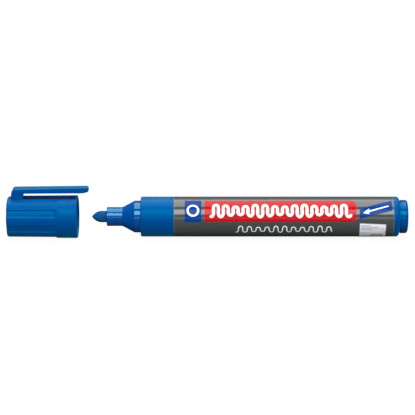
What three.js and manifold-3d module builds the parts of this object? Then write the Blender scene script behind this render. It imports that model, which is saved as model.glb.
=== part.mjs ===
// Whiteboard marker with a bullet nib. The cap is drawn off and lies in line with the barrel, clip on top.
// X runs along the barrel from the cap to the tail, Z is up and the marker is symmetric across Y = 0.
// The origin is under the middle of the whole length, on the surface that the marker lies on.

import * as THREE from "three";
import { mergeVertices } from "three/addons/utils/BufferGeometryUtils.js";
import Module from "manifold-3d";

// Driving dimensions, millimetres.
const SIDES = 32; // facets round a turned piece, with one facet flat on the table
const ARC_STEPS = 4; // straight steps in a rounded corner

const BARREL_R = 8.0; // collar, label and plug flange are flush
const LABEL_LEN = 87.4;
const LABEL_THICK = 0.12;
const TUBE_R = 7.85;
const TUBE_BORE_R = 6.75;

const COLLAR_LEN = 13.2;
const COLLAR_ROUND = 0.5;
const SEAL_RING = { length: 2.5, radius: 6.38 };
const CONE_LEN = 4.8;
const NIB_TUBE = { length: 6.3, radius: 3.78 };
const TUBE_LIP_ROUND = 0.25;
const SPIGOT_R = 6.65; // a push fit in the barrel tube
const SPIGOT_LEN = 10;
const NIB_BORE_R = 2.4;
const VENT_GROOVE = { count: 4, width: 0.6, depth: 0.5 };

const NIB_R = 2.29;
const NIB_STICKS_OUT = 6.0;
const NIB_LEN = 30;
const NIB_OGIVE_LEN = 3.8;
const NIB_OGIVE_POWER = 0.88; // under 1 blunts the tip

const RESERVOIR = { radius: 5.55, front: 3.2, length: 89 };
const FILM = { inner: 5.62, outer: 5.8 };

const PLUG_FLANGE_LEN = 2.4;
const PLUG_SHOULDER_ROUND = 1.1;
const BUTTON = { radius: 6.65, length: 3.4, round: 0.9 };
const PLUG_WALL = 1.25;
const PLUG_RIB = 0.8;

const CAP_LEN = 28.0;
const CAP_RIM_R = 8.64;
const CAP_END_R = 8.4;
const CAP_END_ROUND = 0.6;
const CAP_RIM_ROUND = 0.45;
const CAP_PARTED = 5.6; // free space between the nib's tip and the cap's rim
const FLUTE = { length: 19.75, depth: 0.35 };
const LANDS = [45, 90, 135]; // middles, in degrees on each side of the clip, of the lands between the flutes
const LAND_WIDTH = 22.5; // degrees
const CAP_BORE_R = 7.15;
const CAP_DEEP_BORE_R = 6.8;
const CAP_BORE_STEP = 10.4; // from the rim to the shoulder behind the inner seal
const CAP_END_WALL = 1.3;
const CAP_RIB = { count: 8, width: 1.1, innerR: 6.72, from: 1.0, to: 8.7 };

const SEAL = { mouth: 9.0, length: 12.7, boreR: 3.95, outerR: 4.75, endThick: 0.9 };
const SEAL_FLANGE = { radius: 7.05, thick: 1.2 };

const CLIP_ROOT_W = 5.8;
const CLIP_TIP_W = 4.2;
const CLIP_UNDER_Z = 10.3; // height above the cap's axis
const CLIP_TOP_ROOT_Z = 11.66;
const CLIP_TOP_TIP_Z = 12.2;
const POST = { back: 1.3, front: 6.2, footZ: 7.4, round: 1.1, fillet: 0.9 }; // measured from the closed end
const CLIP_END = 32.3; // from the closed end, so the tip overhangs the rim
const CLIP_TIP_ROUND = 0.7;
const FLEX_GAP = 0.15; // the arm bends about the middle of this gap
const CHANNEL = { floorZ: 7.6, rail: 0.5, lipLength: 0.6 }; // the flat-floored channel under the clip

// Worked out from the above. The marker's own X = 0 is the collar's front face, which the cap's rim meets.
const TAU = 2 * Math.PI;
const FRONT = -(SEAL_RING.length + CONE_LEN + NIB_TUBE.length);
const NIB_TIP = FRONT - NIB_STICKS_OUT;
const LABEL_END = COLLAR_LEN + LABEL_LEN;
const TAIL = LABEL_END + PLUG_FLANGE_LEN + BUTTON.length;
const CAP_RIM_X = NIB_TIP - CAP_PARTED;
const MIDDLE_X = (TAIL + CAP_RIM_X - CAP_LEN) / 2;
const AXIS_Z = CAP_RIM_R * Math.cos(Math.PI / SIDES); // the cap's rim lies on one facet

const wasm = await Module();
wasm.setup();

// Colours and surfaces.
const plastic = (color, roughness) => new THREE.MeshStandardMaterial({ color, roughness, metalness: 0 });
const BLUE_MATT = plastic(0x00529c, 0.45);
const BLUE_GLOSS = plastic(0x004d98, 0.2);
const FELT = plastic(0x00426f, 0.9);
const GREY_PRINT = plastic(0x5c6462, 0.2);
const GREY_TUBE = plastic(0x6a706f, 0.4);
const FIBRE = plastic(0x1a4f94, 0.95);
const CLEAR_FILM = plastic(0xd9e0e6, 0.15);
const SEAL_PLASTIC = plastic(0xe6e9ea, 0.5);

// A closed geometry as a manifold-3d solid.
function solid(geometry) {
  const bare = geometry.index ? geometry.toNonIndexed() : geometry.clone();
  bare.deleteAttribute("normal");
  bare.deleteAttribute("uv");
  const merged = mergeVertices(bare, 1e-4);
  return new wasm.Manifold(
    new wasm.Mesh({
      numProp: 3,
      vertProperties: merged.getAttribute("position").array,
      triVerts: new Uint32Array(merged.index.array),
    }),
  );
}

// A manifold-3d solid as a geometry again.
function geometryOf(body) {
  const made = body.getMesh();
  return new THREE.BufferGeometry()
    .setAttribute("position", new THREE.BufferAttribute(made.vertProperties, 3))
    .setIndex(new THREE.BufferAttribute(made.triVerts, 1));
}

function mesh(name, body, material) {
  const made = new THREE.Mesh(geometryOf(body), material);
  made.name = name;
  return made;
}

// A body of revolution about X from [x, radius] pairs, run so that the outside is followed towards +X.
function turned(profile) {
  const points = profile.map(([x, radius]) => new THREE.Vector2(radius, x));
  return solid(new THREE.LatheGeometry(points, SIDES, Math.PI / SIDES).rotateZ(-Math.PI / 2));
}

// Points on a rounded corner about [x, radius], between two angles measured from +X towards +radius.
function corner(x, radius, size, from, to) {
  return Array.from({ length: ARC_STEPS + 1 }, (_, i) => {
    const angle = from + ((to - from) * i) / ARC_STEPS;
    return [x + size * Math.cos(angle), radius + size * Math.sin(angle)];
  });
}

const QUARTER = Math.PI / 2;
const STRAIGHT = { bevelEnabled: false, steps: 1, curveSegments: 5 };

// An outline in (Y, Z) carried along X.
function alongX(shape, from, to) {
  const turn = new THREE.Matrix4().makeBasis(
    new THREE.Vector3(0, 1, 0),
    new THREE.Vector3(0, 0, 1),
    new THREE.Vector3(1, 0, 0),
  );
  const geometry = new THREE.ExtrudeGeometry(shape, { ...STRAIGHT, depth: to - from });
  return solid(geometry.applyMatrix4(turn).translate(from, 0, 0));
}

// A side view outline in (X, Z) carried across Y, centred on Y = 0.
function acrossY(shape, width) {
  const geometry = new THREE.ExtrudeGeometry(shape, { ...STRAIGHT, depth: width });
  return solid(geometry.rotateX(QUARTER).translate(0, width / 2, 0));
}

// A plan outline in (X, Y) carried up Z.
function upZ(shape, from, to) {
  const geometry = new THREE.ExtrudeGeometry(shape, { ...STRAIGHT, depth: to - from });
  return solid(geometry.translate(0, 0, from));
}

const outline = (points) => new THREE.Shape(points.map(([a, b]) => new THREE.Vector2(a, b)));

// A box that reaches from one radius to another at an angle round the X axis, 0 being +Y.
function radialBox(from, to, innerR, outerR, width, angle) {
  const box = new THREE.BoxGeometry(to - from, outerR - innerR, width);
  return solid(box.translate((from + to) / 2, (innerR + outerR) / 2, 0).rotateX(angle));
}

function aroundX(count, make) {
  return Array.from({ length: count }, (_, i) => make((TAU * i) / count)).reduce((all, one) => all.add(one));
}

// Barrel: a plain tube with a printed film wrapped round it.
function barrelTube() {
  const gap = 0.1;
  const [front, back] = [COLLAR_LEN + gap, LABEL_END - gap];
  return turned([
    [front, TUBE_BORE_R],
    [front, TUBE_R],
    [back, TUBE_R],
    [back, TUBE_BORE_R],
    [front, TUBE_BORE_R],
  ]);
}

function labelSleeve() {
  const gap = 0.05;
  const [front, back, inner] = [COLLAR_LEN + gap, LABEL_END - gap, BARREL_R - LABEL_THICK];
  return turned([
    [front, inner],
    [front, BARREL_R],
    [back, BARREL_R],
    [back, inner],
    [front, inner],
  ]);
}

// Nib section: nib tube, cone, seal ring and grip collar in one moulding, with a spigot into the barrel.
function nibSection() {
  const coneFront = FRONT + NIB_TUBE.length;
  const ringFront = -SEAL_RING.length;
  const spigotEnd = COLLAR_LEN + SPIGOT_LEN;
  const cavityR = FILM.outer + 0.2;
  const shoulder = { x: RESERVOIR.front - 0.3, radius: 5.1 };
  const throat = { x: coneFront + 0.6, radius: NIB_BORE_R + 0.25 };
  const body = turned([
    [FRONT, NIB_BORE_R],
    ...corner(FRONT + TUBE_LIP_ROUND, NIB_TUBE.radius - TUBE_LIP_ROUND, TUBE_LIP_ROUND, TAU / 2, QUARTER),
    [coneFront, NIB_TUBE.radius],
    [ringFront, SEAL_RING.radius],
    [0, SEAL_RING.radius],
    ...corner(COLLAR_ROUND, BARREL_R - COLLAR_ROUND, COLLAR_ROUND, TAU / 2, QUARTER),
    [COLLAR_LEN, BARREL_R],
    [COLLAR_LEN, SPIGOT_R],
    [spigotEnd, SPIGOT_R],
    [spigotEnd, cavityR],
    [shoulder.x, cavityR],
    [shoulder.x, shoulder.radius],
    [throat.x, throat.radius],
    [coneFront, NIB_BORE_R],
    [FRONT, NIB_BORE_R],
  ]);
  const grooves = aroundX(VENT_GROOVE.count, (angle) =>
    radialBox(
      FRONT - 1,
      throat.x + 0.5,
      NIB_BORE_R - 1,
      NIB_BORE_R + VENT_GROOVE.depth,
      VENT_GROOVE.width,
      angle + TAU / 8,
    ),
  );
  return body.subtract(grooves);
}

// Bullet nib: a felt rod with a blunt ogive outside and a cone that reaches into the reservoir.
function bulletNib() {
  const steps = 9;
  const ogive = Array.from({ length: steps + 1 }, (_, i) => {
    const share = i / steps;
    return [NIB_TIP + share * NIB_OGIVE_LEN, NIB_R * (2 * share - share * share) ** NIB_OGIVE_POWER];
  });
  const back = NIB_TIP + NIB_LEN;
  return turned([...ogive, [back - 2.5, NIB_R], [back, 0.6], [back, 0]]);
}

// Ink reservoir: a fibre rod with a pocket for the nib's back end, in a plastic film.
function inkReservoir() {
  const { radius, front, length } = RESERVOIR;
  const back = front + length;
  const pocket = NIB_TIP + NIB_LEN;
  return turned([
    [pocket + 0.5, 0],
    [pocket + 0.5, 0.9],
    [pocket - 2.3, NIB_R + 0.12],
    [front, NIB_R + 0.12],
    [front, radius],
    [back, radius],
    [back, 0],
  ]);
}

function reservoirFilm() {
  const [front, back] = [RESERVOIR.front + 0.1, RESERVOIR.front + RESERVOIR.length - 0.1];
  return turned([
    [front, FILM.inner],
    [front, FILM.outer],
    [back, FILM.outer],
    [back, FILM.inner],
    [front, FILM.inner],
  ]);
}

// End plug: flush flange, a plain button at the tail, and a hollow spigot with a cross of ribs.
function endPlug() {
  const flangeEnd = LABEL_END + PLUG_FLANGE_LEN;
  const spigotStart = LABEL_END - SPIGOT_LEN;
  const boreR = SPIGOT_R - 0.75;
  const buttonBoreR = BUTTON.radius - PLUG_WALL;
  const roof = TAIL - PLUG_WALL;
  const shoulderX = flangeEnd - PLUG_SHOULDER_ROUND;
  const body = turned([
    [spigotStart, boreR],
    [spigotStart, SPIGOT_R],
    [LABEL_END, SPIGOT_R],
    [LABEL_END, BARREL_R],
    ...corner(shoulderX, BARREL_R - PLUG_SHOULDER_ROUND, PLUG_SHOULDER_ROUND, QUARTER, 0),
    [flangeEnd, BUTTON.radius],
    ...corner(TAIL - BUTTON.round, BUTTON.radius - BUTTON.round, BUTTON.round, QUARTER, 0),
    [TAIL, 0],
    [roof, 0],
    [roof, buttonBoreR],
    [LABEL_END + 0.4, buttonBoreR],
    [LABEL_END - 0.2, boreR],
    [spigotStart, boreR],
  ]);
  const [ribFront, ribBack] = [RESERVOIR.front + RESERVOIR.length + 0.3, roof + 0.3];
  const rib = (height, width) => {
    const box = new THREE.BoxGeometry(ribBack - ribFront, width, height);
    return solid(box.translate((ribFront + ribBack) / 2, 0, 0));
  };
  const across = 2 * (buttonBoreR + 0.3);
  return body.add(rib(across, PLUG_RIB)).add(rib(PLUG_RIB, across));
}

// The clip and its post in side view, narrowed towards the tip in plan. X = 0 is the cap's rim here.
const CLIP_X = (fromEnd) => fromEnd - CAP_LEN;
const FLEX_X = CLIP_X(POST.front + POST.fillet + 0.3);
const topZ = (x) => {
  const share = (x - CLIP_X(POST.back)) / (CLIP_END - POST.back);
  return CLIP_TOP_ROOT_Z + share * (CLIP_TOP_TIP_Z - CLIP_TOP_ROOT_Z);
};

function clipPlan() {
  const [back, tip] = [CLIP_X(POST.back) - 1, CLIP_X(CLIP_END) + 1];
  return upZ(
    outline([
      [back, -CLIP_ROOT_W / 2],
      [tip, -CLIP_TIP_W / 2],
      [tip, CLIP_TIP_W / 2],
      [back, CLIP_ROOT_W / 2],
    ]),
    0,
    20,
  );
}

function clipPost() {
  const [back, front, arm] = [CLIP_X(POST.back), CLIP_X(POST.front), FLEX_X - FLEX_GAP / 2];
  const shape = new THREE.Shape();
  shape.moveTo(back, POST.footZ);
  shape.lineTo(front, POST.footZ);
  shape.lineTo(front, CLIP_UNDER_Z - POST.fillet);
  shape.absarc(front + POST.fillet, CLIP_UNDER_Z - POST.fillet, POST.fillet, Math.PI, QUARTER, true);
  shape.lineTo(arm, CLIP_UNDER_Z);
  shape.lineTo(arm, topZ(arm));
  shape.lineTo(back + POST.round, topZ(back + POST.round));
  shape.absarc(back + POST.round, topZ(back + POST.round) - POST.round, POST.round, QUARTER, Math.PI, false);
  return acrossY(shape, 2 * CLIP_ROOT_W).intersect(clipPlan());
}

function clipArm() {
  const [root, tip] = [FLEX_X + FLEX_GAP / 2, CLIP_X(CLIP_END)];
  const upper = topZ(tip - CLIP_TIP_ROUND) - CLIP_TIP_ROUND;
  const lower = CLIP_UNDER_Z + 0.35 + CLIP_TIP_ROUND;
  const shape = new THREE.Shape();
  shape.moveTo(root, CLIP_UNDER_Z);
  shape.lineTo(tip - 2.4, CLIP_UNDER_Z);
  shape.absarc(tip - CLIP_TIP_ROUND, lower, CLIP_TIP_ROUND, -QUARTER, 0, false);
  shape.absarc(tip - CLIP_TIP_ROUND, upper, CLIP_TIP_ROUND, 0, QUARTER, false);
  shape.lineTo(root, topZ(root));
  return acrossY(shape, 2 * CLIP_ROOT_W).intersect(clipPlan());
}

// What the flutes cut away: a ring as long as they are, less the lands and the channel with its rails.
function capFlutes() {
  const [start, end, beyond] = [-CAP_LEN - 1, FLUTE.length - CAP_LEN, 2 * CAP_RIM_R];
  const floor = (x) => CAP_END_R + ((CAP_RIM_R - CAP_END_R) * (x + CAP_LEN)) / CAP_LEN - FLUTE.depth;
  const ring = turned([
    [start, floor(start)],
    [start, beyond],
    [end, beyond],
    [end, floor(end)],
    [start, floor(start)],
  ]);
  const lands = LANDS.flatMap((middle) => [middle, -middle]).map((middle) => {
    const edge = (side) => {
      const fromTop = THREE.MathUtils.degToRad(middle + (side * LAND_WIDTH) / 2);
      return [-2 * beyond * Math.sin(fromTop), 2 * beyond * Math.cos(fromTop)];
    };
    return alongX(outline([[0, 0], edge(-1), edge(1)]), start - 1, end + 1);
  });
  const rails = new THREE.BoxGeometry(CAP_LEN, CLIP_ROOT_W + 2 * CHANNEL.rail, beyond);
  lands.push(solid(rails.translate(CLIP_X(POST.front) + CAP_LEN / 2, 0, beyond / 2)));
  return lands.reduce((left, land) => left.subtract(land), ring);
}

// Cap: a fluted cup with grip ribs inside its mouth and the clip's post on top.
function capShell() {
  const end = -CAP_LEN;
  const roof = end + CAP_END_WALL;
  const body = turned([
    [end, 0],
    ...corner(end + CAP_END_ROUND, CAP_END_R - CAP_END_ROUND, CAP_END_ROUND, TAU / 2, QUARTER),
    ...corner(-CAP_RIM_ROUND, CAP_RIM_R - CAP_RIM_ROUND, CAP_RIM_ROUND, QUARTER, 0),
    [0, CAP_BORE_R + 0.3],
    [-0.5, CAP_BORE_R],
    [-CAP_BORE_STEP, CAP_BORE_R],
    [-CAP_BORE_STEP, CAP_DEEP_BORE_R],
    [roof, CAP_DEEP_BORE_R],
    [roof, 0],
  ]);
  const channel = solid(
    new THREE.BoxGeometry(CAP_LEN - POST.front - CHANNEL.lipLength, CLIP_ROOT_W, 4).translate(
      (CLIP_X(POST.front) - CHANNEL.lipLength) / 2,
      0,
      CHANNEL.floorZ + 2,
    ),
  );
  const ribs = aroundX(CAP_RIB.count, (angle) =>
    radialBox(-CAP_RIB.to, -CAP_RIB.from, CAP_RIB.innerR, CAP_BORE_R + 0.3, CAP_RIB.width, angle + TAU / 16),
  );
  return body.subtract(capFlutes()).subtract(channel).add(ribs).add(clipPost());
}

// Inner seal: a cup that closes round the nib tube, held in the cap by its flange.
function capInnerSeal() {
  const mouth = -SEAL.mouth;
  const end = mouth - SEAL.length;
  return turned([
    [end, 0],
    [end, SEAL.outerR],
    [mouth - SEAL_FLANGE.thick, SEAL.outerR],
    [mouth - SEAL_FLANGE.thick, SEAL_FLANGE.radius],
    [mouth, SEAL_FLANGE.radius],
    [mouth, SEAL.boreR + 0.6],
    [mouth - 0.8, SEAL.boreR],
    [end + SEAL.endThick, SEAL.boreR],
    [end + SEAL.endThick, 0],
  ]);
}

const marker = new THREE.Group().add(
  mesh("barrel_tube", barrelTube(), GREY_TUBE),
  mesh("label_sleeve", labelSleeve(), GREY_PRINT),
  mesh("nib_section", nibSection(), BLUE_MATT),
  mesh("bullet_nib", bulletNib(), FELT),
  mesh("ink_reservoir", inkReservoir(), FIBRE),
  mesh("reservoir_film", reservoirFilm(), CLEAR_FILM),
  mesh("end_plug", endPlug(), BLUE_GLOSS),
);

const cap = new THREE.Group().add(
  mesh("cap_shell", capShell(), BLUE_MATT),
  mesh("cap_inner_seal", capInnerSeal(), SEAL_PLASTIC),
  mesh("clip_arm", clipArm(), BLUE_MATT),
);
cap.position.x = CAP_RIM_X;

const whole = new THREE.Group().add(marker, cap);
whole.position.set(-MIDDLE_X, 0, AXIS_Z);

export default whole;
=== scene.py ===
"""Looks for the whiteboard marker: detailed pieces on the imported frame, materials, studio and camera."""

import math

import bmesh
import bpy
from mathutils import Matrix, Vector


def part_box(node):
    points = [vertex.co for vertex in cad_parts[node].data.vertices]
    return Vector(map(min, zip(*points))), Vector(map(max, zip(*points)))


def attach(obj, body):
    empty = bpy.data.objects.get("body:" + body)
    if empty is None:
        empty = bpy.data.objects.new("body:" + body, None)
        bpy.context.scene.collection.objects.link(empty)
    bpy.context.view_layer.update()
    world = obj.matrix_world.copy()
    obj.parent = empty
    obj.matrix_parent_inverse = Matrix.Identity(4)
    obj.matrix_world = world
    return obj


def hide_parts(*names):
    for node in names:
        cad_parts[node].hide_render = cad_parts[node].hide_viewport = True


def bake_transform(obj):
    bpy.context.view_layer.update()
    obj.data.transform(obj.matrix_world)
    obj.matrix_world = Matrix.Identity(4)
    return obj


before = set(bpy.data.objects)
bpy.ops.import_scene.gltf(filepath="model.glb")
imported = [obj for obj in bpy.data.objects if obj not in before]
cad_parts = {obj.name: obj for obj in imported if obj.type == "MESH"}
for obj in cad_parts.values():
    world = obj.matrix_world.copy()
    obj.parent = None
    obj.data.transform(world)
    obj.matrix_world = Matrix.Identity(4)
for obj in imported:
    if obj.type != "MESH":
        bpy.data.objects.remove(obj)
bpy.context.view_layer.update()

# Lengths below are in millimetres and angles in degrees, unless a name says otherwise.
MM = 0.001
SEGMENTS = 128
ARC_STEPS = 5
PANEL_ARC_STEPS = 6
DISC_STEPS = 20
RING_STEPS = 60
FLUTE_WALL_STEPS = 5
LONGEST_STEP = 3.2  # the widest angle between two cuts round the cap
TOLERANCE = 0.01
STEEP = 0.02  # half of what a nearly sheer step takes up, across or along

# The barrel pieces' own X = 0 is the collar's front face, and the cap pieces' own X = 0 is the cap's rim.
TO_COLLAR = 13.6  # from the front end of the nib section
COLLAR_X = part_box("nib_section")[0][0] / MM + TO_COLLAR
RIM_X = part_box("cap_shell")[1][0] / MM
AXIS_Z = (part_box("label_sleeve")[0][2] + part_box("label_sleeve")[1][2]) / 2 / MM

BARREL_R = 8.0
LABEL = {"front": 13.25, "back": 100.55, "inner": 7.88, "film_edge": 0.1, "lip": 0.03}

COLLAR = {"length": 13.2, "round": 0.5, "edge": 0.05}
RING = {"length": 2.5, "radius": 6.38, "round": 0.15, "front_drop": 0.02, "fillet": 0.12}
CONE = {"front": -7.3, "fillet": 0.35, "rise": (0.04, 0.19)}  # the rise over the tube through the fillet
TUBE = {"front": -13.6, "radius": 3.78, "round": 0.25}
SPIGOT = {"radius": 6.65, "inner": 6.0, "end": 23.2}
RESERVOIR_SEAT = {"x": 2.9, "mouth": 5.1}
NIB_BORE = {"radius": 2.4, "lead_in": 0.6, "flare": 0.25}

NIB = {"tip": -19.6, "radius": 2.29, "length": 30.0, "ogive": 3.8, "power": 0.86, "steps": 22}
NIB_BACK = {"taper": 2.5, "radius": 0.6}

PLUG = {"start": 100.6, "flange_end": 103.0, "tail": 106.4, "shoulder": 1.1, "edge": 0.06}
PLUG_INSIDE = {"spigot": 10.0, "spigot_wall": 0.75, "wall": 1.25, "mouth": 0.2, "roof": 0.4}
BUTTON = {"radius": 6.65, "round": 0.9, "neck": 0.3, "neck_end": 0.4, "swell_end": 0.6}

CAP = {"length": 28.0, "end_r": 8.4, "rim_r": 8.6, "end_round": 0.6, "rim_round": 0.45}
CAP_INSIDE_R = 7.6  # anything wider is the outer surface
CAP_BORE = {"mouth": 7.45, "radius": 7.15, "step": -10.4, "deep": 6.8, "roof": -26.7}
CAP_MOUTH = {"edge": 0.1, "lead_in": 0.5}
CAP_RIB = {"count": 8, "width": 1.1, "inner": 6.72, "front": -1.0, "back": -8.7, "ramps": (0.6, 0.4)}
RIB_ROOT = {"crown": 0.02, "foot": 0.2}  # how far into the cap's wall a rib's surface and foot go
FLUTE = {"depth": 0.35, "wall": 2.4, "ramp": (-8.65, -8.25)}
LANDS = (45, 90, 135)  # middles, on each side of the clip, of the lands between the flutes
LAND_HALF = 11.25
CHANNEL = {"z": 7.6, "half": 2.9, "rail": 0.5, "front": -0.6, "back": -21.8}

SEAL = {"mouth": -9.0, "flange": 7.05, "thick": 1.2, "bore": 3.95, "outer": 4.75, "end": -21.7, "wall": 0.9}
SEAL_EDGE = {"round": 0.5, "flange": 0.1}
# The bore from the mouth in, as (depth, radius over the bore's): a funnel, then a wiping bead.
SEAL_BORE = ((0.0, 0.7), (0.15, 0.45), (0.8, 0.0), (2.0, 0.0), (2.2, -0.08), (2.4, 0.0))

CLIP = {"foot_z": 7.4, "under_z": 10.12, "top_z": (11.66, 12.2), "width": (5.8, 4.3), "edge": 0.13}
POST = {"back": -26.62, "lean": 0.5, "front": -21.8, "round": 1.2, "fillet": 0.95}
CLIP_TIP = {"x": 4.5, "round": 0.85, "lower_share": 0.7, "chamfer": 2.4, "lift": 0.42, "plan": 1.0}
CLIP_CUTS = {"first": -20.5, "step": 1.0, "count": 24}
CLIP_TIP_CUTS = {"step": 0.12, "count": 8}

PRINT_LIFT = 0.03  # each printed layer stands this far proud of the last
PRINT_SINK = 0.02  # and they all start this far under the film's surface
PRINT_STEP = 0.6  # a printed shape is cut this finely round the barrel
VIEW_ELEVATION = 15.0
FACING = 90 - VIEW_ELEVATION  # the angle, from the top, of what faces the camera


def polar(x, radius, angle):
    """A point in metres. x runs along the marker and the angle goes from the top towards the front."""
    turn = math.radians(angle)
    return Vector((x, -radius * math.sin(turn), AXIS_Z + radius * math.cos(turn))) * MM


def smooth(share):
    """An eased step from 0 to 1, flat outside that range."""
    share = min(max(share, 0.0), 1.0)
    return share * share * (3 - 2 * share)


def corner(x, radius, size, start, end, slot=0):
    """Profile points round a corner about (x, radius). Angles are measured from +X towards +radius."""
    turns = [math.radians(start + (end - start) * i / ARC_STEPS) for i in range(ARC_STEPS + 1)]
    return [(x + size * math.cos(t), radius + size * math.sin(t), slot) for t in turns]


def even_angles(count=SEGMENTS):
    """Angles evenly round a circle, from the top."""
    return [360 * i / count for i in range(count)]


def revolve(bm, profile, offset, angles, wall=None):
    """A closed body about the marker's axis. Its (x, radius, slot) points end on the axis or loop round."""
    rings = []
    for x, radius, _ in profile:
        if radius == 0:
            rings.append([bm.verts.new(polar(offset + x, 0, 0))])
            continue
        radii = [wall(x, radius, angle) if wall else radius for angle in angles]
        rings.append([bm.verts.new(polar(offset + x, r, angle)) for r, angle in zip(radii, angles)])
    slots = [slot for _, _, slot in profile]
    if profile[0][1] > 0:
        rings.append(rings[0])
    for slot, near, far in zip(slots, rings, rings[1:]):
        for i in range(len(angles)):
            j = i + 1
            quad = (near[i % len(near)], near[j % len(near)], far[j % len(far)], far[i % len(far)])
            corners = list(dict.fromkeys(quad))
            if len(corners) > 2:
                bm.faces.new(corners).material_index = slot


def piece(name, bm, materials, body, node=None, sharp=32):
    """A finished object from bm, riding on a body, unless that is None, and standing for a CAD node."""
    bmesh.ops.recalc_face_normals(bm, faces=bm.faces)
    mesh = bpy.data.meshes.new(name)
    bm.to_mesh(mesh)
    bm.free()
    for material in materials:
        mesh.materials.append(material)
    mesh.shade_smooth()
    mesh.set_sharp_from_angle(angle=math.radians(sharp))
    made = bpy.data.objects.new(name, mesh)
    bpy.context.scene.collection.objects.link(made)
    if body:
        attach(made, body)
    if node:
        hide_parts(node)
    return made


# Materials

NOISE_SPAN = (0.3, 0.7)  # most values of a noise texture lie between these
CYAN_GLINT = (0.0, 1.0, 0.95, 1.0)
PALE_GLINT = (0.35, 0.95, 1.0, 1.0)
WHITE_GLINT = (1.0, 1.0, 1.0, 1.0)


def srgb(red, green, blue):
    """A linear colour with alpha from 8-bit sRGB."""

    def linear(value):
        value /= 255
        return value / 12.92 if value <= 0.04045 else ((value + 0.055) / 1.055) ** 2.4

    return (linear(red), linear(green), linear(blue), 1.0)


def new_material(name, roughness, **constants):
    """A named material and its shader. Constants are shader sockets, with underscores for spaces."""
    material = bpy.data.materials.new(name)
    material.use_nodes = True
    shader = material.node_tree.nodes["Principled BSDF"]
    shader.inputs["Roughness"].default_value = roughness
    for socket, value in constants.items():
        shader.inputs[socket.replace("_", " ")].default_value = value
    return material, shader


def noise(material, size, detail=3.0, stretch=(1, 1, 1)):
    """A noise value with features about size millimetres across, drawn out along the stretched axes."""
    tree = material.node_tree
    place = tree.nodes.new("ShaderNodeTexCoord")
    mapping = tree.nodes.new("ShaderNodeMapping")
    mapping.inputs["Scale"].default_value = [1 / (size * MM * s) for s in stretch]
    texture = tree.nodes.new("ShaderNodeTexNoise")
    texture.inputs["Scale"].default_value = 1.0
    texture.inputs["Detail"].default_value = detail
    tree.links.new(place.outputs["Object"], mapping.inputs["Vector"])
    tree.links.new(mapping.outputs["Vector"], texture.inputs["Vector"])
    return texture.outputs["Fac"]


def spread(material, value, low, high):
    """A noise value stretched to run from low to high."""
    node = material.node_tree.nodes.new("ShaderNodeMapRange")
    node.inputs["From Min"].default_value = NOISE_SPAN[0]
    node.inputs["From Max"].default_value = NOISE_SPAN[1]
    node.inputs["To Min"].default_value = low
    node.inputs["To Max"].default_value = high
    material.node_tree.links.new(value, node.inputs["Value"])
    return node.outputs["Result"]


def colour_between(material, shader, value, dark, light):
    """Colours the shader by a noise value."""
    ramp = material.node_tree.nodes.new("ShaderNodeValToRGB")
    for element, position, colour in zip(ramp.color_ramp.elements, NOISE_SPAN, (dark, light)):
        element.position = position
        element.color = colour
    material.node_tree.links.new(value, ramp.inputs["Fac"])
    material.node_tree.links.new(ramp.outputs["Color"], shader.inputs["Base Color"])


def bump(material, shader, value, depth, under=None):
    """A bump of depth millimetres. Returns its normal, so that a finer one can go over it."""
    node = material.node_tree.nodes.new("ShaderNodeBump")
    node.inputs["Strength"].default_value = 1.0
    node.inputs["Distance"].default_value = depth * MM
    material.node_tree.links.new(value, node.inputs["Height"])
    if under:
        material.node_tree.links.new(under, node.inputs["Normal"])
    material.node_tree.links.new(node.outputs["Normal"], shader.inputs["Normal"])
    return node.outputs["Normal"]


def shade(colour, factor):
    """A darker or lighter version of a colour."""
    return tuple(channel * factor for channel in colour[:3]) + (1.0,)


def textured_plastic(name, colour, roughness, grain, mottle, glint=CYAN_GLINT, specular=0.28, sheen=0.26):
    """Moulded plastic with a spark-eroded skin: fine grains over a soft mottle, with tinted highlights."""
    material, shader = new_material(
        name,
        roughness,
        Specular_IOR_Level=specular,
        Specular_Tint=glint,
        Sheen_Weight=sheen,
        Sheen_Roughness=0.5,
        Sheen_Tint=glint,
    )
    patches = noise(material, 1.6, detail=4)
    colour_between(material, shader, patches, shade(colour, 0.95), shade(colour, 1.06))
    rough = spread(material, noise(material, 1.0, detail=4), roughness - 0.14, roughness + 0.14)
    material.node_tree.links.new(rough, shader.inputs["Roughness"])
    soft = bump(material, shader, noise(material, 1.1, detail=2), mottle)
    bump(material, shader, noise(material, 0.22, detail=2), grain, soft)
    return material


def polished_plastic(name, colour, roughness=0.1, glint=PALE_GLINT, specular=1.0):
    """Glossy moulded plastic with a faint flow ripple and hairline handling marks."""
    material, shader = new_material(name, roughness, Specular_IOR_Level=specular, Specular_Tint=glint)
    colour_between(material, shader, noise(material, 3.0), shade(colour, 0.97), shade(colour, 1.04))
    marks = spread(material, noise(material, 0.3, 4, (12, 1, 1)), roughness - 0.03, roughness + 0.05)
    material.node_tree.links.new(marks, shader.inputs["Roughness"])
    bump(material, shader, noise(material, 2.2, detail=1), 0.004)
    return material


def printed_film(name, colour, roughness=0.13, specular=0.3):
    """Glossy printed label film: ink grain, very light scuffs along the barrel and a soft ripple."""
    material, shader = new_material(name, roughness, Specular_IOR_Level=specular)
    colour_between(material, shader, noise(material, 0.12, 2), shade(colour, 0.97), shade(colour, 1.03))
    scuffs = spread(material, noise(material, 0.25, 5, (30, 1, 1)), roughness - 0.02, roughness + 0.05)
    material.node_tree.links.new(scuffs, shader.inputs["Roughness"])
    bump(material, shader, noise(material, 4.0, 1, (4, 1, 1)), 0.003)
    return material


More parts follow.
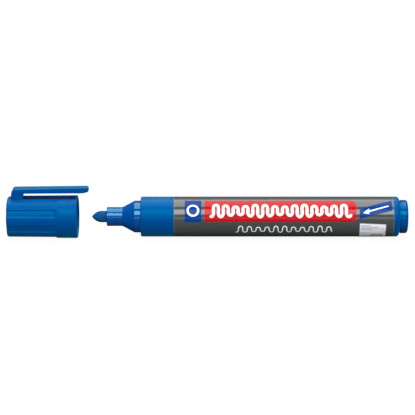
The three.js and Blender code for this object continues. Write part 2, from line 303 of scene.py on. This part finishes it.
def inked_felt(name, dark, light):
    """Pressed fibres soaked in ink, drawn along the nib, with blots of thicker ink."""
    fibre_share = blot_share = 0.5
    material, shader = new_material(name, 0.8, Specular_IOR_Level=0.1)
    fibres = noise(material, 0.16, 5, (9, 1, 1))
    blots = noise(material, 1.2, 3, (1.6, 1, 1))
    both = material.node_tree.nodes.new("ShaderNodeMath")
    both.operation = "MULTIPLY_ADD"
    both.inputs[1].default_value = fibre_share
    half = material.node_tree.nodes.new("ShaderNodeMath")
    half.operation = "MULTIPLY"
    half.inputs[1].default_value = blot_share
    material.node_tree.links.new(blots, half.inputs[0])
    material.node_tree.links.new(fibres, both.inputs[0])
    material.node_tree.links.new(half.outputs[0], both.inputs[2])
    colour_between(material, shader, both.outputs[0], dark, light)
    rough = spread(material, fibres, 0.62, 0.92)
    material.node_tree.links.new(rough, shader.inputs["Roughness"])
    bump(material, shader, fibres, 0.05)
    return material


def waxy_plastic(name, colour):
    """Natural polyethylene: a little light goes in, and the surface is soft and slightly uneven."""
    material, shader = new_material(name, 0.45, Subsurface_Weight=0.2, Subsurface_Scale=1.0 * MM)
    colour_between(material, shader, noise(material, 2.5), shade(colour, 0.96), colour)
    rough = spread(material, noise(material, 0.5, 4), 0.38, 0.52)
    material.node_tree.links.new(rough, shader.inputs["Roughness"])
    bump(material, shader, noise(material, 0.4, 2), 0.006)
    return material


BLUE = srgb(0, 71, 147)
CAP_BLUE = textured_plastic("cap_blue", BLUE, 0.35, grain=0.008, mottle=0.02)
COLLAR_BLUE = textured_plastic("collar_blue", BLUE, 0.33, grain=0.008, mottle=0.025)
CONE_BLUE = textured_plastic("cone_blue", BLUE, 0.7, grain=0.004, mottle=0.006, specular=0.1, sheen=0.05)
# The channel floor under the clip is the same blue darkened to 40%: painted shade from the clip above, with
# less shine.
CHANNEL_SHADE_BLUE = textured_plastic("channel_painted_shade", shade(BLUE, 0.4), 0.5, 0.002, 0.004, specular=0.05, sheen=0.0)
GLOSS_BLUE = polished_plastic("gloss_blue", BLUE)
BUTTON_BLUE = polished_plastic("button_blue", BLUE, 0.14, glint=CYAN_GLINT, specular=0.45)
LABEL_GREY = printed_film("label_grey", srgb(71, 77, 75), 0.11, 0.78)
FILM_EDGE = printed_film("film_edge", srgb(160, 154, 142), 0.2)
PRINT_RED = printed_film("print_red", srgb(192, 8, 21), specular=0.26)
PRINT_BLUE = printed_film("print_blue", srgb(0, 62, 140), specular=0.12)
PRINT_WHITE = printed_film("print_white", srgb(254, 254, 253))
PRINT_NAVY = printed_film("print_navy", srgb(44, 52, 124))
PRINT_LILAC = printed_film("print_lilac", srgb(142, 150, 208))
FELT = inked_felt("ink_felt", srgb(0, 47, 92), srgb(18, 100, 164))
SEAL_WHITE = waxy_plastic("seal_white", srgb(236, 238, 239))
TUBE_GREY = textured_plastic("tube_grey", srgb(104, 110, 109), 0.4, 0.003, 0.004, glint=WHITE_GLINT)
FIBRE = inked_felt("reservoir_fibre", srgb(16, 64, 132), srgb(52, 118, 190))
CLEAR_FILM = polished_plastic("reservoir_wrap", srgb(222, 228, 233), 0.15, WHITE_GLINT, 0.5)


# Barrel pieces


def make_label():
    """The printed film, whose cut ends show paler."""
    bm = bmesh.new()
    front, back, inner, edge, lip = LABEL.values()
    profile = [
        (front, inner, 1),
        (front, BARREL_R - lip, 1),
        (front + lip, BARREL_R, 1),
        (front + edge, BARREL_R, 0),
        (back - edge, BARREL_R, 1),
        (back - lip, BARREL_R, 1),
        (back, BARREL_R - lip, 1),
        (back, inner, 1),
    ]
    revolve(bm, profile, COLLAR_X, even_angles())
    piece("label", bm, [LABEL_GREY, FILM_EDGE], "barrel", "label_sleeve")


def make_nib_section():
    """Collar, seal ring, cone and nib tube in one moulding, with the spigot that goes into the barrel."""
    collar, gloss, cone = 0, 1, 2
    bm = bmesh.new()
    ring_front, ring_round = -RING["length"], RING["round"]
    ring_toe = ring_round * 0.55
    cone_front, fillet = CONE["front"], CONE["fillet"]
    low_rise, high_rise = CONE["rise"]
    profile = [
        (TUBE["front"], NIB_BORE["radius"], gloss),
        *corner(TUBE["front"] + TUBE["round"], TUBE["radius"] - TUBE["round"], TUBE["round"], 180, 90, gloss),
        (cone_front - fillet, TUBE["radius"], gloss),
        (cone_front, TUBE["radius"] + low_rise, cone),
        (cone_front + fillet, TUBE["radius"] + high_rise, cone),
        (ring_front - ring_round, RING["radius"] - ring_toe, cone),
        (ring_front, RING["radius"] - RING["front_drop"], gloss),
        (ring_front + ring_round, RING["radius"], gloss),
        (-RING["fillet"], RING["radius"], gloss),
        (0, RING["radius"] + RING["fillet"], collar),
        *corner(COLLAR["round"], BARREL_R - COLLAR["round"], COLLAR["round"], 180, 90, collar),
        (COLLAR["length"] - COLLAR["edge"], BARREL_R, collar),
        (COLLAR["length"], BARREL_R - COLLAR["edge"], collar),
        (COLLAR["length"], SPIGOT["radius"], collar),
        (SPIGOT["end"], SPIGOT["radius"], collar),
        (SPIGOT["end"], SPIGOT["inner"], collar),
        (RESERVOIR_SEAT["x"], SPIGOT["inner"], collar),
        (RESERVOIR_SEAT["x"], RESERVOIR_SEAT["mouth"], collar),
        (cone_front + NIB_BORE["lead_in"], NIB_BORE["radius"] + NIB_BORE["flare"], collar),
        (cone_front, NIB_BORE["radius"], collar),
    ]
    revolve(bm, profile, COLLAR_X, even_angles())
    piece("nib_section_moulding", bm, [COLLAR_BLUE, GLOSS_BLUE, CONE_BLUE], "barrel", "nib_section")


def make_nib():
    """A felt rod with a blunt point, cut more finely towards the tip."""
    bm = bmesh.new()
    steps = NIB["steps"]
    profile = []
    for i in range(steps + 1):
        share = (i / steps) ** 1.6
        radius = NIB["radius"] * (2 * share - share * share) ** NIB["power"]
        profile.append((NIB["tip"] + share * NIB["ogive"], radius, 0))
    back = NIB["tip"] + NIB["length"]
    profile += [(back - NIB_BACK["taper"], NIB["radius"], 0), (back, NIB_BACK["radius"], 0), (back, 0, 0)]
    revolve(bm, profile, COLLAR_X, even_angles(SEGMENTS // 2))
    piece("felt_nib", bm, [FELT], "barrel", "bullet_nib", sharp=60)


def make_end_plug():
    """A hollow plug with a matt flange and spigot and a polished button."""
    matt, gloss = 0, 1
    bm = bmesh.new()
    start, flange, tail, shoulder, edge = PLUG.values()
    radius, rounding, neck, neck_end, swell_end = BUTTON.values()
    spigot, spigot_wall, wall, mouth, roof = PLUG_INSIDE.values()
    profile = [
        (start - spigot, SPIGOT["radius"] - spigot_wall, matt),
        (start - spigot, SPIGOT["radius"], matt),
        (start, SPIGOT["radius"], matt),
        (start, BARREL_R - edge, matt),
        (start + edge, BARREL_R, matt),
        *corner(flange - shoulder, BARREL_R - shoulder, shoulder, 90, 0, matt),
        (flange, radius - neck, gloss),
        (flange + neck_end, radius - neck, gloss),
        (flange + swell_end, radius, gloss),
        *corner(tail - rounding, radius - rounding, rounding, 90, 0, gloss),
        (tail, 0.5, gloss),
        (tail, 0, matt),
        (tail - wall, 0, matt),
        (tail - wall, radius - wall, matt),
        (start + roof, radius - wall, matt),
        (start - mouth, SPIGOT["radius"] - spigot_wall, matt),
    ]
    revolve(bm, profile, COLLAR_X, even_angles())
    piece("tail_plug", bm, [COLLAR_BLUE, BUTTON_BLUE], "barrel", "end_plug")


# Cap pieces


def rail_edge():
    """The angle, from the top, of the outer edge of the rails along the channel under the clip."""
    return math.degrees(math.asin((CHANNEL["half"] + CHANNEL["rail"]) / CAP["rim_r"]))


def flute_share(x, angle):
    """How far into a flute a point is: 0 on a land or a rail, 1 on a flute's floor."""
    side = abs((angle + 180) % 360 - 180)
    off_land = min(abs(side - middle) for middle in LANDS) - LAND_HALF
    if x > CHANNEL["back"]:
        off_land = min(off_land, side - rail_edge())
    return smooth(off_land / FLUTE["wall"])


def cap_wall(x, radius, angle):
    """The outer surface with its flutes and the channel under the clip; the inside is left round."""
    if radius < CAP_INSIDE_R:
        return radius
    low, high = FLUTE["ramp"]
    run = 1 - smooth((x - low) / (high - low))
    side = math.radians((angle + 180) % 360 - 180)
    flat = CHANNEL["z"] / max(math.cos(side), 0.1)
    in_channel = abs(flat * math.sin(side)) < CHANNEL["half"] and abs(side) < math.pi / 2
    if in_channel and CHANNEL["back"] < x < CHANNEL["front"]:
        return min(radius, flat)
    return radius - FLUTE["depth"] * run * flute_share(x, angle)


def cap_angles():
    """Angles round the cap, close together at the lands' walls and the channel's edges."""
    wall = FLUTE["wall"]
    channel_edge = math.degrees(math.atan(CHANNEL["half"] / CHANNEL["z"]))
    keys = {0.0, channel_edge - STEEP, channel_edge + STEEP, rail_edge(), rail_edge() + wall, 180.0}
    for middle in LANDS:
        for edge in (LAND_HALF, LAND_HALF + wall):
            keys.update((middle - edge, middle + edge))
    keys = sorted(keys)
    side = [0.0]
    for near, far in zip(keys, keys[1:]):
        is_wall = abs(far - near - wall) < TOLERANCE
        steps = FLUTE_WALL_STEPS if is_wall else math.ceil((far - near) / LONGEST_STEP)
        side.extend(near + (far - near) * (i + 1) / steps for i in range(steps))
    return side + [360 - a for a in reversed(side) if 0 < a < 180]


def make_cap():
    """The fluted cup, open at the rim, with grip ribs in its bore."""
    bm = bmesh.new()
    end, last, first = -CAP["length"], CAP["rim_r"], CAP["end_r"]
    end_round, rim_round = CAP["end_round"], CAP["rim_round"]
    edge, lead_in = CAP_MOUTH["edge"], CAP_MOUTH["lead_in"]

    def land(x):
        return first + (last - first) * (x - end) / CAP["length"]

    low, high = FLUTE["ramp"]
    ramp = [low + (high - low) * i / ARC_STEPS for i in range(ARC_STEPS + 1)]
    back, front = CHANNEL["back"], CHANNEL["front"]
    behind = [-27, back - STEEP, back + STEEP, -16, -12, -9.5]
    ahead = [-6, -3, front - 0.06, front + 0.01]
    stations = [*behind, *ramp, *ahead]
    profile = [
        (end, 0, 0),
        (end, 2.5, 0),
        (end, 5.5, 0),
        *corner(end + end_round, first - end_round, end_round, 180, 90),
        *[(x, land(x), 0) for x in stations],
        *corner(-rim_round, last - rim_round, rim_round, 90, 0),
        (0, CAP_BORE["mouth"] + edge, 0),
        (-edge, CAP_BORE["mouth"], 0),
        (-lead_in, CAP_BORE["radius"], 0),
        (CAP_BORE["step"], CAP_BORE["radius"], 0),
        (CAP_BORE["step"], CAP_BORE["deep"], 0),
        (CAP_BORE["roof"], CAP_BORE["deep"], 0),
        (CAP_BORE["roof"], 0, 0),
    ]
    revolve(bm, profile, RIM_X, cap_angles(), cap_wall)
    for i in range(CAP_RIB["count"]):
        add_grip_rib(bm, 360 * (i + 0.5) / CAP_RIB["count"])
    # Faces on the channel's floor take the darkened blue, which is painted shade under the clip.
    for face in bm.faces:
        if is_channel(face):
            face.material_index = 1
    piece("cap_cup", bm, [CAP_BLUE, CHANNEL_SHADE_BLUE], "cap", "cap_shell", sharp=40)


def is_channel(face):
    """Whether a face is on the channel's flat floor."""
    height = AXIS_Z + CHANNEL["z"]
    half = CHANNEL["half"] + TOLERANCE
    level = all(abs(vert.co.z / MM - height) < TOLERANCE for vert in face.verts)
    return level and all(abs(vert.co.y / MM) < half for vert in face.verts)


def add_grip_rib(bm, angle):
    """A rounded rib on the cap's bore, tapered at both ends so that the seal ring rides up on it."""
    half = math.degrees(CAP_RIB["width"] / 2 / CAP_BORE["radius"])
    root = CAP_BORE["radius"] + RIB_ROOT["crown"]
    base = CAP_BORE["radius"] + RIB_ROOT["foot"]
    rise = CAP_BORE["radius"] - CAP_RIB["inner"]
    front, back = CAP_RIB["front"], CAP_RIB["back"]
    lead_in, run_out = CAP_RIB["ramps"]
    stations = [(front, 0.0), (front - lead_in, 1.0), (back + run_out, 1.0), (back, 0.0)]
    # Across the rib, as shares of half its width and of its rise.
    section = [(-1.0, 0.0), (-0.6, 0.8), (0.0, 1.0), (0.6, 0.8), (1.0, 0.0)]
    rows = []
    for x, full in stations:
        crown = [polar(RIM_X + x, root - rise * full * share, angle + half * side) for side, share in section]
        foot = [polar(RIM_X + x, base, angle + half), polar(RIM_X + x, base, angle - half)]
        rows.append([bm.verts.new(p) for p in crown + foot])
    for near, far in zip(rows, rows[1:]):
        for i in range(len(near)):
            j = (i + 1) % len(near)
            bm.faces.new((near[i], near[j], far[j], far[i]))
    bm.faces.new(rows[0])
    bm.faces.new(list(reversed(rows[-1])))


def make_inner_seal():
    """The cup that closes round the nib tube, with the flange that holds it in the cap."""
    bm = bmesh.new()
    mouth, end, bore = SEAL["mouth"], SEAL["end"], SEAL["bore"]
    rounding, edge = SEAL_EDGE["round"], SEAL_EDGE["flange"]
    profile = [
        (end, 0, 0),
        *corner(end + rounding, SEAL["outer"] - rounding, rounding, 180, 90),
        (mouth - SEAL["thick"], SEAL["outer"], 0),
        (mouth - SEAL["thick"], SEAL["flange"], 0),
        (mouth - edge, SEAL["flange"], 0),
        (mouth, SEAL["flange"] - edge, 0),
        *[(mouth - depth, bore + extra, 0) for depth, extra in SEAL_BORE],
        (end + SEAL["wall"], bore, 0),
        (end + SEAL["wall"], 0, 0),
    ]
    revolve(bm, profile, RIM_X, even_angles())
    piece("seal_cup", bm, [SEAL_WHITE], "cap", "cap_inner_seal")


def clip_top(x):
    """The arm's upper surface: its height above the axis."""
    low, high = CLIP["top_z"]
    return low + (high - low) * (x - POST["back"]) / (CLIP_TIP["x"] - POST["back"])


def clip_half_width(x):
    """Half of the arm's width, which narrows along its length and rounds off at the tip."""
    wide, narrow = CLIP["width"]
    straight = wide + (narrow - wide) * (x - POST["back"]) / (CLIP_TIP["x"] - POST["back"])
    past = max((x - (CLIP_TIP["x"] - CLIP_TIP["plan"])) / CLIP_TIP["plan"], 0)
    return straight / 2 - CLIP_TIP["plan"] * (1 - math.sqrt(max(1 - past * past, 0.0)))


def clip_outline():
    """The clip's side view as (x, height above the axis) points: back of the post, arm, front of the post."""

    def arc(x, z, size, start, end):
        return [(px, pz) for px, pz, _ in corner(x, z, size, start, end)]

    tip, tip_round = CLIP_TIP["x"], CLIP_TIP["round"]
    back_top = POST["back"] + POST["lean"] + POST["round"]
    under_end = CLIP["under_z"] + CLIP_TIP["lift"]
    lower = tip_round * CLIP_TIP["lower_share"]
    return [
        (POST["back"], CLIP["foot_z"]),
        *arc(back_top, clip_top(back_top) - POST["round"], POST["round"], 180, 90),
        *arc(tip - tip_round, clip_top(tip) - tip_round, tip_round, 88, 20),
        *arc(tip - lower, under_end + lower, lower, -15, -80),
        (tip - CLIP_TIP["chamfer"], CLIP["under_z"]),
        *arc(POST["front"] + POST["fillet"], CLIP["under_z"] - POST["fillet"], POST["fillet"], 90, 180),
        (POST["front"], CLIP["foot_z"]),
    ]


def clip_cuts():
    """Where the clip is cut across: evenly along the arm and finely at the round tip."""
    along = [CLIP_CUTS["first"] + CLIP_CUTS["step"] * i for i in range(CLIP_CUTS["count"])]
    tip_start = CLIP_TIP["x"] - CLIP_TIP["plan"]
    return along + [tip_start + CLIP_TIP_CUTS["step"] * i for i in range(CLIP_TIP_CUTS["count"])]


def make_clip():
    """The post and arm in one body, with softened edges."""
    bm = bmesh.new()
    outline = clip_outline()
    sides = [
        [bm.verts.new(Vector((RIM_X + x, side, AXIS_Z + z)) * MM) for x, z in outline] for side in (-1, 1)
    ]
    bm.faces.new(sides[0])
    bm.faces.new(list(reversed(sides[1])))
    for i in range(len(outline)):
        j = (i + 1) % len(outline)
        bm.faces.new((sides[0][i], sides[1][i], sides[1][j], sides[0][j]))
    for x in clip_cuts():
        everything = bm.verts[:] + bm.edges[:] + bm.faces[:]
        bmesh.ops.bisect_plane(bm, geom=everything, plane_co=((RIM_X + x) * MM, 0, 0), plane_no=(1, 0, 0))
    for vert in bm.verts:
        vert.co.y = math.copysign(clip_half_width(vert.co.x / MM - RIM_X) * MM, vert.co.y)
    bmesh.ops.recalc_face_normals(bm, faces=bm.faces)
    rims = [e for e in bm.edges if e.is_manifold and is_side(e.link_faces[0]) != is_side(e.link_faces[1])]
    bmesh.ops.bevel(
        bm, geom=rims, offset=CLIP["edge"] * MM, segments=3, profile=0.5, affect="EDGES", clamp_overlap=True
    )
    made = piece("clip", bm, [CAP_BLUE], None, "clip_arm", sharp=38)
    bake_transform(made)


def is_side(face):
    """Whether a face of the clip looks across the marker."""
    return abs(face.normal.y) > 0.7


# Printed label


def on_barrel(x, around, lift):
    """A point over the label. Its distance round runs downwards from the line that faces the camera."""
    return polar(COLLAR_X + x, BARREL_R + lift, FACING + math.degrees(around / BARREL_R))


class Print:
    """Thin raised shapes on the label, drawn flat in (x, distance round the barrel) and wrapped on it."""

    def __init__(self):
        self.bm = bmesh.new()

    def shape(self, outline, slot, layer):
        """A filled outline."""
        flat = bmesh.new()
        flat.faces.new([flat.verts.new((x, around, 0)) for x, around in outline])
        self.wrap(flat, slot, layer)

    def ribbon(self, points, width, slot, layer):
        """A stroke of even width through points, with round ends."""
        flat = bmesh.new()
        rows = []
        for i, (x, around) in enumerate(points):
            before, after = points[max(i - 1, 0)], points[min(i + 1, len(points) - 1)]
            along = Vector((after[0] - before[0], after[1] - before[1])).normalized()
            out = Vector((-along.y, along.x)) * width / 2
            rows.append([flat.verts.new((x + s * out.x, around + s * out.y, 0)) for s in (-1, 1)])
        for near, far in zip(rows, rows[1:]):
            flat.faces.new((near[0], near[1], far[1], far[0]))
        self.wrap(flat, slot, layer)
        for x, around in (points[0], points[-1]):
            self.disc(x, around, width / 2, slot, layer)

    def disc(self, x, around, radius, slot, layer):
        turns = [math.tau * i / DISC_STEPS for i in range(DISC_STEPS)]
        self.shape([(x + radius * math.cos(t), around + radius * math.sin(t)) for t in turns], slot, layer)

    def ring(self, x, around, radius, width, slot, layer):
        """A closed circle drawn as a stroke."""
        turns = [math.tau * i / RING_STEPS for i in range(RING_STEPS + 1)]
        points = [(x + radius * math.cos(t), around + radius * math.sin(t)) for t in turns]
        self.ribbon(points, width, slot, layer)

    def wrap(self, flat, slot, layer):
        """Cuts a flat shape into strips round the barrel, wraps it and closes it underneath."""
        low = min(v.co.y for v in flat.verts)
        high = max(v.co.y for v in flat.verts)
        for i in range(1, int((high - low) / PRINT_STEP) + 1):
            everything = flat.verts[:] + flat.edges[:] + flat.faces[:]
            cut = (0, low + i * PRINT_STEP, 0)
            bmesh.ops.bisect_plane(flat, geom=everything, plane_co=cut, plane_no=(0, 1, 0))
        top, bottom = layer * PRINT_LIFT, -PRINT_SINK
        upper = {v: self.bm.verts.new(on_barrel(v.co.x, v.co.y, top)) for v in flat.verts}
        lower = {v: self.bm.verts.new(on_barrel(v.co.x, v.co.y, bottom)) for v in flat.verts}
        for face in flat.faces:
            self.bm.faces.new([upper[v] for v in face.verts]).material_index = slot
            self.bm.faces.new([lower[v] for v in reversed(face.verts)]).material_index = slot
        for edge in (e for e in flat.edges if e.is_boundary):
            a, b = edge.verts
            self.bm.faces.new((upper[a], upper[b], lower[b], lower[a])).material_index = slot
        flat.free()


def rounded_panel(x0, x1, top, bottom, left, right):
    """A panel's outline with round corners of two sizes."""

    def turn(x, around, size, start):
        if not size:
            return [(x, around)]
        angles = [math.radians(start + 90 * i / PANEL_ARC_STEPS) for i in range(PANEL_ARC_STEPS + 1)]
        return [(x + size * math.cos(a), around + size * math.sin(a)) for a in angles]

    return [
        *turn(x0 + left, top + left, left, 180),
        *turn(x1 - right, top + right, right, 270),
        *turn(x1 - right, bottom - right, right, 0),
        *turn(x0 + left, bottom - left, left, 90),
    ]


IN_RED, IN_BLUE, IN_WHITE, IN_NAVY, IN_LILAC = range(5)
PRINT_MATERIALS = [PRINT_RED, PRINT_BLUE, PRINT_WHITE, PRINT_NAVY, PRINT_LILAC]

SWATCH = {"x": (17.55, 24.15), "top": -7.2, "bottom": 2.25, "ring": 2.1, "ring_width": 0.8}
PANEL = {"x": (25.4, 85.55), "top": -7.25, "bottom": 2.1, "round": 2.1}
SCRIBBLE = {"x": (28.0, 83.0), "middle": -2.4, "half": 2.5, "period": 3.9, "loop": 1.1}
SCRIBBLE_WIDTH = 1.15
UNDERLINE = {"x": (38.0, 76.2), "middle": 5.5, "half": 1.6, "period": 3.5, "loop": 0.8}
UNDERLINE_WIDTH = 0.46
HAND = {"points": 28, "height": (0.82, 0.18), "drift": 0.23, "start": 0.7, "lean": 0.35}
BANNER = {"x": (86.9, 99.75), "left": (-3.05, 0.95), "right": (-7.2, -2.4)}
ARROW = {"tip": 1.3, "barb": 3.7, "half": 1.15, "shaft": (3.2, 1.6), "width": 0.55}
NOTE = {"x": (86.85, 97.5), "top": 2.6, "slope": 0.045, "bottom": 14.0, "border": 0.22}
RULE = {"indent": 0.8, "width": 0.22}
# The ruled lines on the note, as (distance below its top, length).
RULES = ((1.05, 3.6), (1.6, 6.8), (2.3, 7.2), (2.85, 4.2), (4.6, 3.4), (6.2, 3.0))
NOTE_RING = {"from_right": 1.5, "below_top": 2.5, "radius": 0.5, "width": 0.14}
NOTE_SCRIBBLE = {"from_left": 4.6, "from_right": 1.2, "below_top": 6.3, "width": 0.26}


def make_swatch(art):
    """A plain blue square with a white ring: the ink's colour."""
    x0, x1 = SWATCH["x"]
    art.shape(rounded_panel(x0, x1, SWATCH["top"], SWATCH["bottom"], 0, 0), IN_BLUE, 1)
    middle = (SWATCH["top"] + SWATCH["bottom"]) / 2
    art.ring((x0 + x1) / 2, middle, SWATCH["ring"], SWATCH["ring_width"], IN_WHITE, 2)


def make_panel(art):
    """A red panel with a loose white scribble in place of lettering, and a thinner one under it."""
    x0, x1 = PANEL["x"]
    art.shape(rounded_panel(x0, x1, PANEL["top"], PANEL["bottom"], 0, PANEL["round"]), IN_RED, 1)
    art.ribbon(scribble(SCRIBBLE), SCRIBBLE_WIDTH, IN_WHITE, 2)
    art.ribbon(scribble(UNDERLINE), UNDERLINE_WIDTH, IN_WHITE, 1)


def scribble(line):
    """A looping hand-drawn line: a wave of slowly changing height that also swings along its run."""
    x0, x1 = line["x"]
    turns = (x1 - x0) / line["period"]
    count = int(turns * HAND["points"])
    mean, change = HAND["height"]
    swing = line["loop"] * line["period"] / 4
    points = []
    for i in range(count + 1):
        phase = math.tau * turns * i / count
        height = mean + change * math.sin(phase * HAND["drift"] + HAND["start"])
        x = x0 + (x1 - x0) * i / count + swing * math.sin(phase * 2) * HAND["lean"]
        points.append((x, line["middle"] + line["half"] * height * math.cos(phase)))
    return points


def make_banner(art):
    """A slanted blue banner with a white arrow that points to the cap."""
    x0, x1 = BANNER["x"]
    (left_top, left_bottom), (right_top, right_bottom) = BANNER["left"], BANNER["right"]
    art.shape([(x0, left_top), (x1, right_top), (x1, right_bottom), (x0, left_bottom)], IN_BLUE, 1)

    def along(x, offset):
        share = (x - x0) / (x1 - x0)
        top = left_top + (right_top - left_top) * share
        bottom = left_bottom + (right_bottom - left_bottom) * share
        return (x, (top + bottom) / 2 + offset)

    tip, barb, half = ARROW["tip"], ARROW["barb"], ARROW["half"]
    shaft_start, shaft_margin = ARROW["shaft"]
    art.ribbon([along(x0 + shaft_start, 0), along(x1 - shaft_margin, 0)], ARROW["width"], IN_WHITE, 2)
    art.shape([along(x0 + tip, 0), along(x0 + barb, -half), along(x0 + barb, half)], IN_WHITE, 2)


def make_note(art):
    """A white note with a lilac border, ruled lines, a small ring and a scribble."""
    x0, x1 = NOTE["x"]
    note_top, slope = NOTE["top"], NOTE["slope"]

    def sheet(inset, slot, layer):
        left, right = x0 + inset, x1 - inset
        top, bottom = note_top + inset, NOTE["bottom"] - inset
        right_top = top + slope * (x1 - x0)
        art.shape([(left, top), (right, right_top), (right, bottom), (left, bottom)], slot, layer)

    sheet(0, IN_LILAC, 1)
    sheet(NOTE["border"], IN_WHITE, 2)
    for row, length in RULES:
        start = (x0 + RULE["indent"], note_top + row)
        art.ribbon([start, (start[0] + length, start[1] + slope * length)], RULE["width"], IN_LILAC, 3)
    ring_x, ring_y = x1 - NOTE_RING["from_right"], note_top + NOTE_RING["below_top"]
    art.ring(ring_x, ring_y, NOTE_RING["radius"], NOTE_RING["width"], IN_LILAC, 3)
    sign = {
        "x": (x0 + NOTE_SCRIBBLE["from_left"], x1 - NOTE_SCRIBBLE["from_right"]),
        "middle": note_top + NOTE_SCRIBBLE["below_top"],
        "half": 0.8,
        "period": 1.1,
        "loop": 0.8,
    }
    art.ribbon(scribble(sign), NOTE_SCRIBBLE["width"], IN_NAVY, 3)


def make_prints():
    art = Print()
    for make in (make_swatch, make_panel, make_banner, make_note):
        make(art)
    piece("label_prints", art.bm, PRINT_MATERIALS, "barrel", sharp=50)


# Carried-over CAD nodes


def dress(node, material):
    """Gives a node that keeps its CAD mesh the material's look."""
    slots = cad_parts[node].data.materials
    slots.clear()
    slots.append(material)


# Studio

CAMERA = {"distance": 720.0, "lens": 156.1, "above_axis": 3.62, "x": 0.02}
CLIP_DISTANCES = (0.01, 50.0)  # metres
FLOOR = {"half": 4.0, "bounce": 0.08, "glow": 0.93}  # metres, and levels of light
SOFTBOX = {"distance": 0.9, "length": 0.9}  # metres
SOFTBOXES = {  # elevations, seen from the marker, that each box fills
    "low_softbox": {"from": 0.5, "to": 12.0, "radiance": 1.05},
    "low_fill": {"from": 0.5, "to": 24.0, "radiance": 2.9, "mirrored": False},
    "front_softbox": {"from": 27.6, "to": 56.0, "radiance": 4.9},
    "top_softbox": {"from": 73.0, "to": 130.0, "radiance": 2.9},
    "back_softbox": {"from": 130.0, "to": 160.0, "radiance": 0.2},
    "back_fill": {"from": 130.0, "to": 175.0, "radiance": 1.3, "mirrored": False},
}
WORLD = {"seen": 1.0, "fill": 0.06}


def make_camera():
    """The camera looks level with the marker's length from above the front."""
    tilt = math.radians(VIEW_ELEVATION)
    data = bpy.data.cameras.new("camera")
    data.lens = CAMERA["lens"]
    data.clip_start, data.clip_end = CLIP_DISTANCES
    camera = bpy.data.objects.new("camera", data)
    back, up = CAMERA["distance"], CAMERA["above_axis"]
    y = -back * math.cos(tilt) + up * math.sin(tilt)
    z = AXIS_Z + back * math.sin(tilt) + up * math.cos(tilt)
    camera.location = Vector((CAMERA["x"], y, z)) * MM
    camera.rotation_euler = (math.radians(90 - VIEW_ELEVATION), 0, 0)
    bpy.context.scene.collection.objects.link(camera)
    bpy.context.scene.camera = camera


def make_softbox(name, box):
    """A long rectangular light parallel to the marker. One that isn't mirrored makes no highlights."""
    middle = math.radians((box["from"] + box["to"]) / 2)
    half = math.radians((box["to"] - box["from"]) / 2)
    data = bpy.data.lights.new(name, "AREA")
    data.shape = "RECTANGLE"
    data.size = SOFTBOX["length"]
    data.size_y = 2 * SOFTBOX["distance"] * math.tan(half)
    data.energy = box["radiance"] * math.pi * data.size * data.size_y
    light = bpy.data.objects.new(name, data)
    reach = SOFTBOX["distance"]
    light.location = (0, -reach * math.cos(middle), AXIS_Z * MM + reach * math.sin(middle))
    light.rotation_euler = (math.pi / 2 - middle, 0, 0)
    light.visible_camera = False
    light.visible_glossy = box.get("mirrored", True)
    bpy.context.scene.collection.objects.link(light)


def camera_switch(tree, otherwise, seen):
    """Joins two shaders so that the camera sees one and bounced light meets the other."""
    path = tree.nodes.new("ShaderNodeLightPath")
    mix = tree.nodes.new("ShaderNodeMixShader")
    tree.links.new(path.outputs["Is Camera Ray"], mix.inputs["Fac"])
    tree.links.new(otherwise, mix.inputs[1])
    tree.links.new(seen, mix.inputs[2])
    return mix.outputs["Shader"]


def make_floor():
    """A plain pale sheet that the camera sees evenly lit, and that throws little light up at the marker."""
    bm = bmesh.new()
    half = FLOOR["half"]
    corners = ((-half, -half), (half, -half), (half, half), (-half, half))
    bm.faces.new([bm.verts.new((x, y, 0)) for x, y in corners])
    mesh = bpy.data.meshes.new("floor")
    bm.to_mesh(mesh)
    bm.free()
    material = bpy.data.materials.new("floor_paper")
    material.use_nodes = True
    tree = material.node_tree
    tree.nodes.clear()
    paper = tree.nodes.new("ShaderNodeBsdfDiffuse")
    paper.inputs["Color"].default_value = (FLOOR["bounce"],) * 3 + (1,)
    glow = tree.nodes.new("ShaderNodeEmission")
    glow.inputs["Strength"].default_value = FLOOR["glow"]
    lit = tree.nodes.new("ShaderNodeAddShader")
    tree.links.new(paper.outputs["BSDF"], lit.inputs[0])
    tree.links.new(glow.outputs["Emission"], lit.inputs[1])
    output = tree.nodes.new("ShaderNodeOutputMaterial")
    seen = camera_switch(tree, paper.outputs["BSDF"], lit.outputs["Shader"])
    tree.links.new(seen, output.inputs["Surface"])
    mesh.materials.append(material)
    floor = bpy.data.objects.new("floor", mesh)
    bpy.context.scene.collection.objects.link(floor)


def make_world():
    """White where the camera sees it, and nearly dark for the light that falls on the marker."""
    world = bpy.data.worlds.new("studio")
    world.use_nodes = True
    bpy.context.scene.world = world
    tree = world.node_tree
    tree.nodes.clear()
    shaders = []
    for level in (WORLD["fill"], WORLD["seen"]):
        sky = tree.nodes.new("ShaderNodeBackground")
        sky.inputs["Strength"].default_value = level
        sky.inputs["Color"].default_value = (1, 1, 1, 1)
        shaders.append(sky.outputs["Background"])
    output = tree.nodes.new("ShaderNodeOutputWorld")
    tree.links.new(camera_switch(tree, *shaders), output.inputs["Surface"])


make_camera()
make_world()
make_floor()
for box_name, box_facts in SOFTBOXES.items():
    make_softbox(box_name, box_facts)
bpy.context.scene.view_settings.view_transform = "Standard"

make_label()
make_nib_section()
make_nib()
make_end_plug()
make_cap()
make_inner_seal()
make_clip()
make_prints()
dress("barrel_tube", TUBE_GREY)
dress("ink_reservoir", FIBRE)
dress("reservoir_film", CLEAR_FILM)
